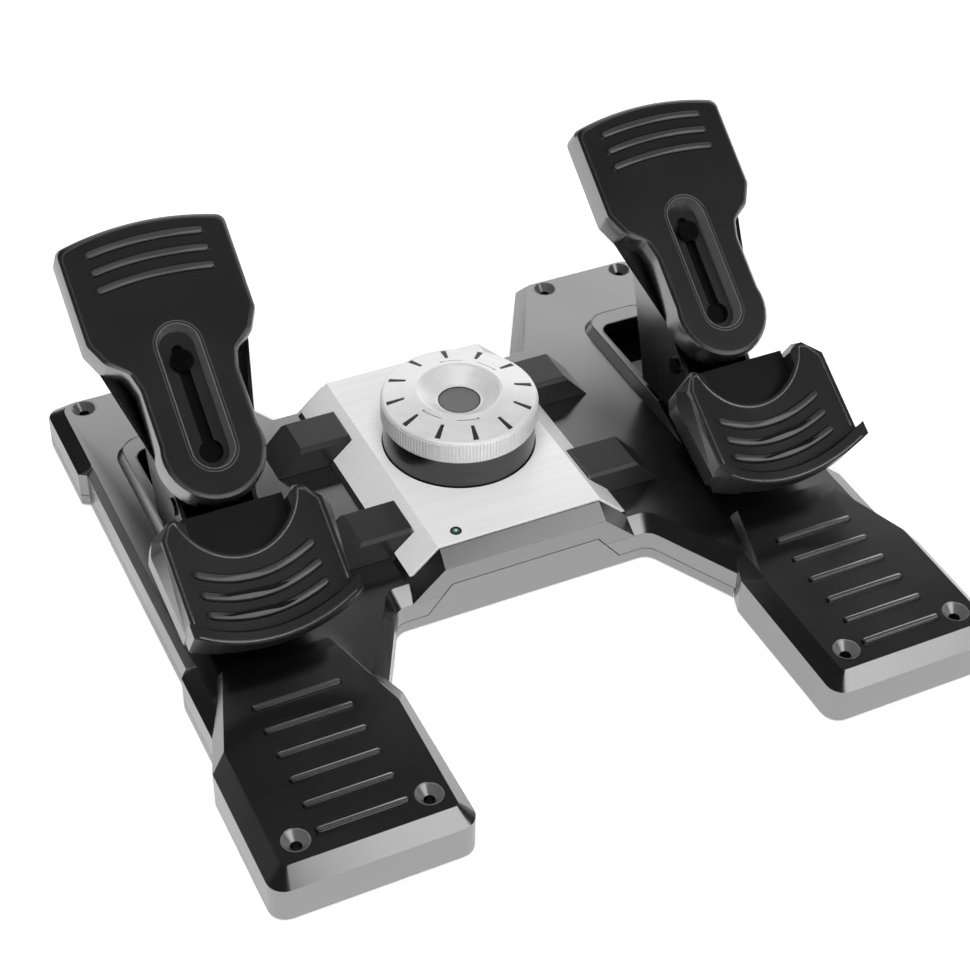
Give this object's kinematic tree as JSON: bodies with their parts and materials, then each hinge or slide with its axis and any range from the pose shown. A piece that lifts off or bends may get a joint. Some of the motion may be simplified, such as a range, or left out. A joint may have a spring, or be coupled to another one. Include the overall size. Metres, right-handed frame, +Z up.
{
  "type": "flight simulator rudder pedals",
  "caption": "Black rudder pedals for a flight simulator, with sliding toe plates on toe brakes, heel cups, footrests and a knurled tension dial on a silver plate.",
  "frame": {"origin": "centre of the footprint, on the ground", "axes": "+X to the user's right, +Y away from the user's heels towards the toes, +Z up"},
  "size_m": [0.43, 0.41, 0.1918],
  "materials": {
    "black_plastic": "satin",
    "grey_plastic": "satin",
    "silver_metal": "satin",
    "lens": "gloss",
    "rubber": "matte",
    "steel": "satin",
    "board": "matte",
    "bush_metal": "satin",
    "dark_gloss": "gloss",
    "glide": "satin"
  },
  "bodies": {
    "base": {"base_tray": "grey_plastic", "top_shell": "black_plastic", "centre_housing": "black_plastic", "centre_plate": "silver_metal", "power_lens": "lens", "rubber_feet": "rubber", "case_screws": "steel", "cable_gland": "rubber", "circuit_board": "board", "usb_socket_block": "steel", "front_post": "steel", "rear_post": "steel", "rear_post_cap": "steel", "spindle_bush": "bush_metal", "friction_pad": "rubber", "pad_spring": "steel", "rudder_sensor": "grey_plastic", "sensor_bracket": "steel", "centring_spring": "steel", "spring_stops": "grey_plastic", "dial_drum": "dark_gloss", "footrest_left": "black_plastic", "footrest_right": "black_plastic"},
    "rear_crossbar": {"rear_bar": "steel", "rear_bush": "bush_metal", "friction_sector": "steel", "rear_pins": "steel"},
    "front_crossbar": {"front_bar": "steel", "front_bush": "bush_metal", "front_pins": "steel"},
    "dial": {"tension_dial": "silver_metal", "dial_cap": "grey_plastic", "dial_spindle": "steel"},
    "pedal_left": {"carriage_left": "black_plastic", "glide_pads_left": "glide", "heel_cup_left": "black_plastic", "brake_axle_left": "steel", "brake_spring_left": "steel", "brake_sensor_left": "grey_plastic"},
    "brake_left": {"brake_arm_left": "grey_plastic", "clamp_screw_left": "steel"},
    "toe_left": {"toe_plate_left": "black_plastic"},
    "pedal_right": {"carriage_right": "black_plastic", "glide_pads_right": "glide", "heel_cup_right": "black_plastic", "brake_axle_right": "steel", "brake_spring_right": "steel", "brake_sensor_right": "grey_plastic"},
    "brake_right": {"brake_arm_right": "grey_plastic", "clamp_screw_right": "steel"},
    "toe_right": {"toe_plate_right": "black_plastic"}
  },
  "joints": [
    {"name": "rudder_swing", "type": "hinge", "parent": "base", "child": "rear_crossbar", "pos_m": [0, 0.0914, 0.013], "axis": [0, 0, 1], "range_deg": [-14, 14], "stiffness_Nm_per_rad": 20},
    {"name": "front_swing", "type": "hinge", "parent": "base", "child": "front_crossbar", "pos_m": [0, 0.0014, 0.013], "axis": [0, 0, 1], "range_deg": [-14, 14]},
    {"name": "dial_turn", "type": "hinge", "parent": "base", "child": "dial", "pos_m": [0, 0.0464, 0.07], "axis": [0, 0, 1], "range_deg": [-150, 150]},
    {"name": "pedal_level_left", "type": "hinge", "parent": "rear_crossbar", "child": "pedal_left", "pos_m": [-0.1575, 0.0914, 0.016], "axis": [0, 0, 1], "range_deg": [-14, 14]},
    {"name": "toe_brake_left", "type": "hinge", "parent": "pedal_left", "child": "brake_left", "pos_m": [-0.1575, 0.03, 0.072], "axis": [-1, 0, 0], "range_deg": [0, 20], "stiffness_Nm_per_rad": 6, "springref_deg": -5.73},
    {"name": "toe_reach_left", "type": "slide", "parent": "brake_left", "child": "toe_left", "axis": [0, 0.807, 0.5906], "range_m": [0, 0.04]},
    {"name": "pedal_level_right", "type": "hinge", "parent": "rear_crossbar", "child": "pedal_right", "pos_m": [0.1575, 0.0914, 0.016], "axis": [0, 0, 1], "range_deg": [-14, 14]},
    {"name": "toe_brake_right", "type": "hinge", "parent": "pedal_right", "child": "brake_right", "pos_m": [0.1575, 0.03, 0.072], "axis": [-1, 0, 0], "range_deg": [0, 20], "stiffness_Nm_per_rad": 6, "springref_deg": -5.73},
    {"name": "toe_reach_right", "type": "slide", "parent": "brake_right", "child": "toe_right", "axis": [0, 0.807, 0.5906], "range_m": [0, 0.04]}
  ],
  "couplings": [
    {"joint": "front_swing", "follows": "rudder_swing", "ratio": 1},
    {"joint": "pedal_level_left", "follows": "rudder_swing", "ratio": -1},
    {"joint": "pedal_level_right", "follows": "rudder_swing", "ratio": -1}
  ]
}
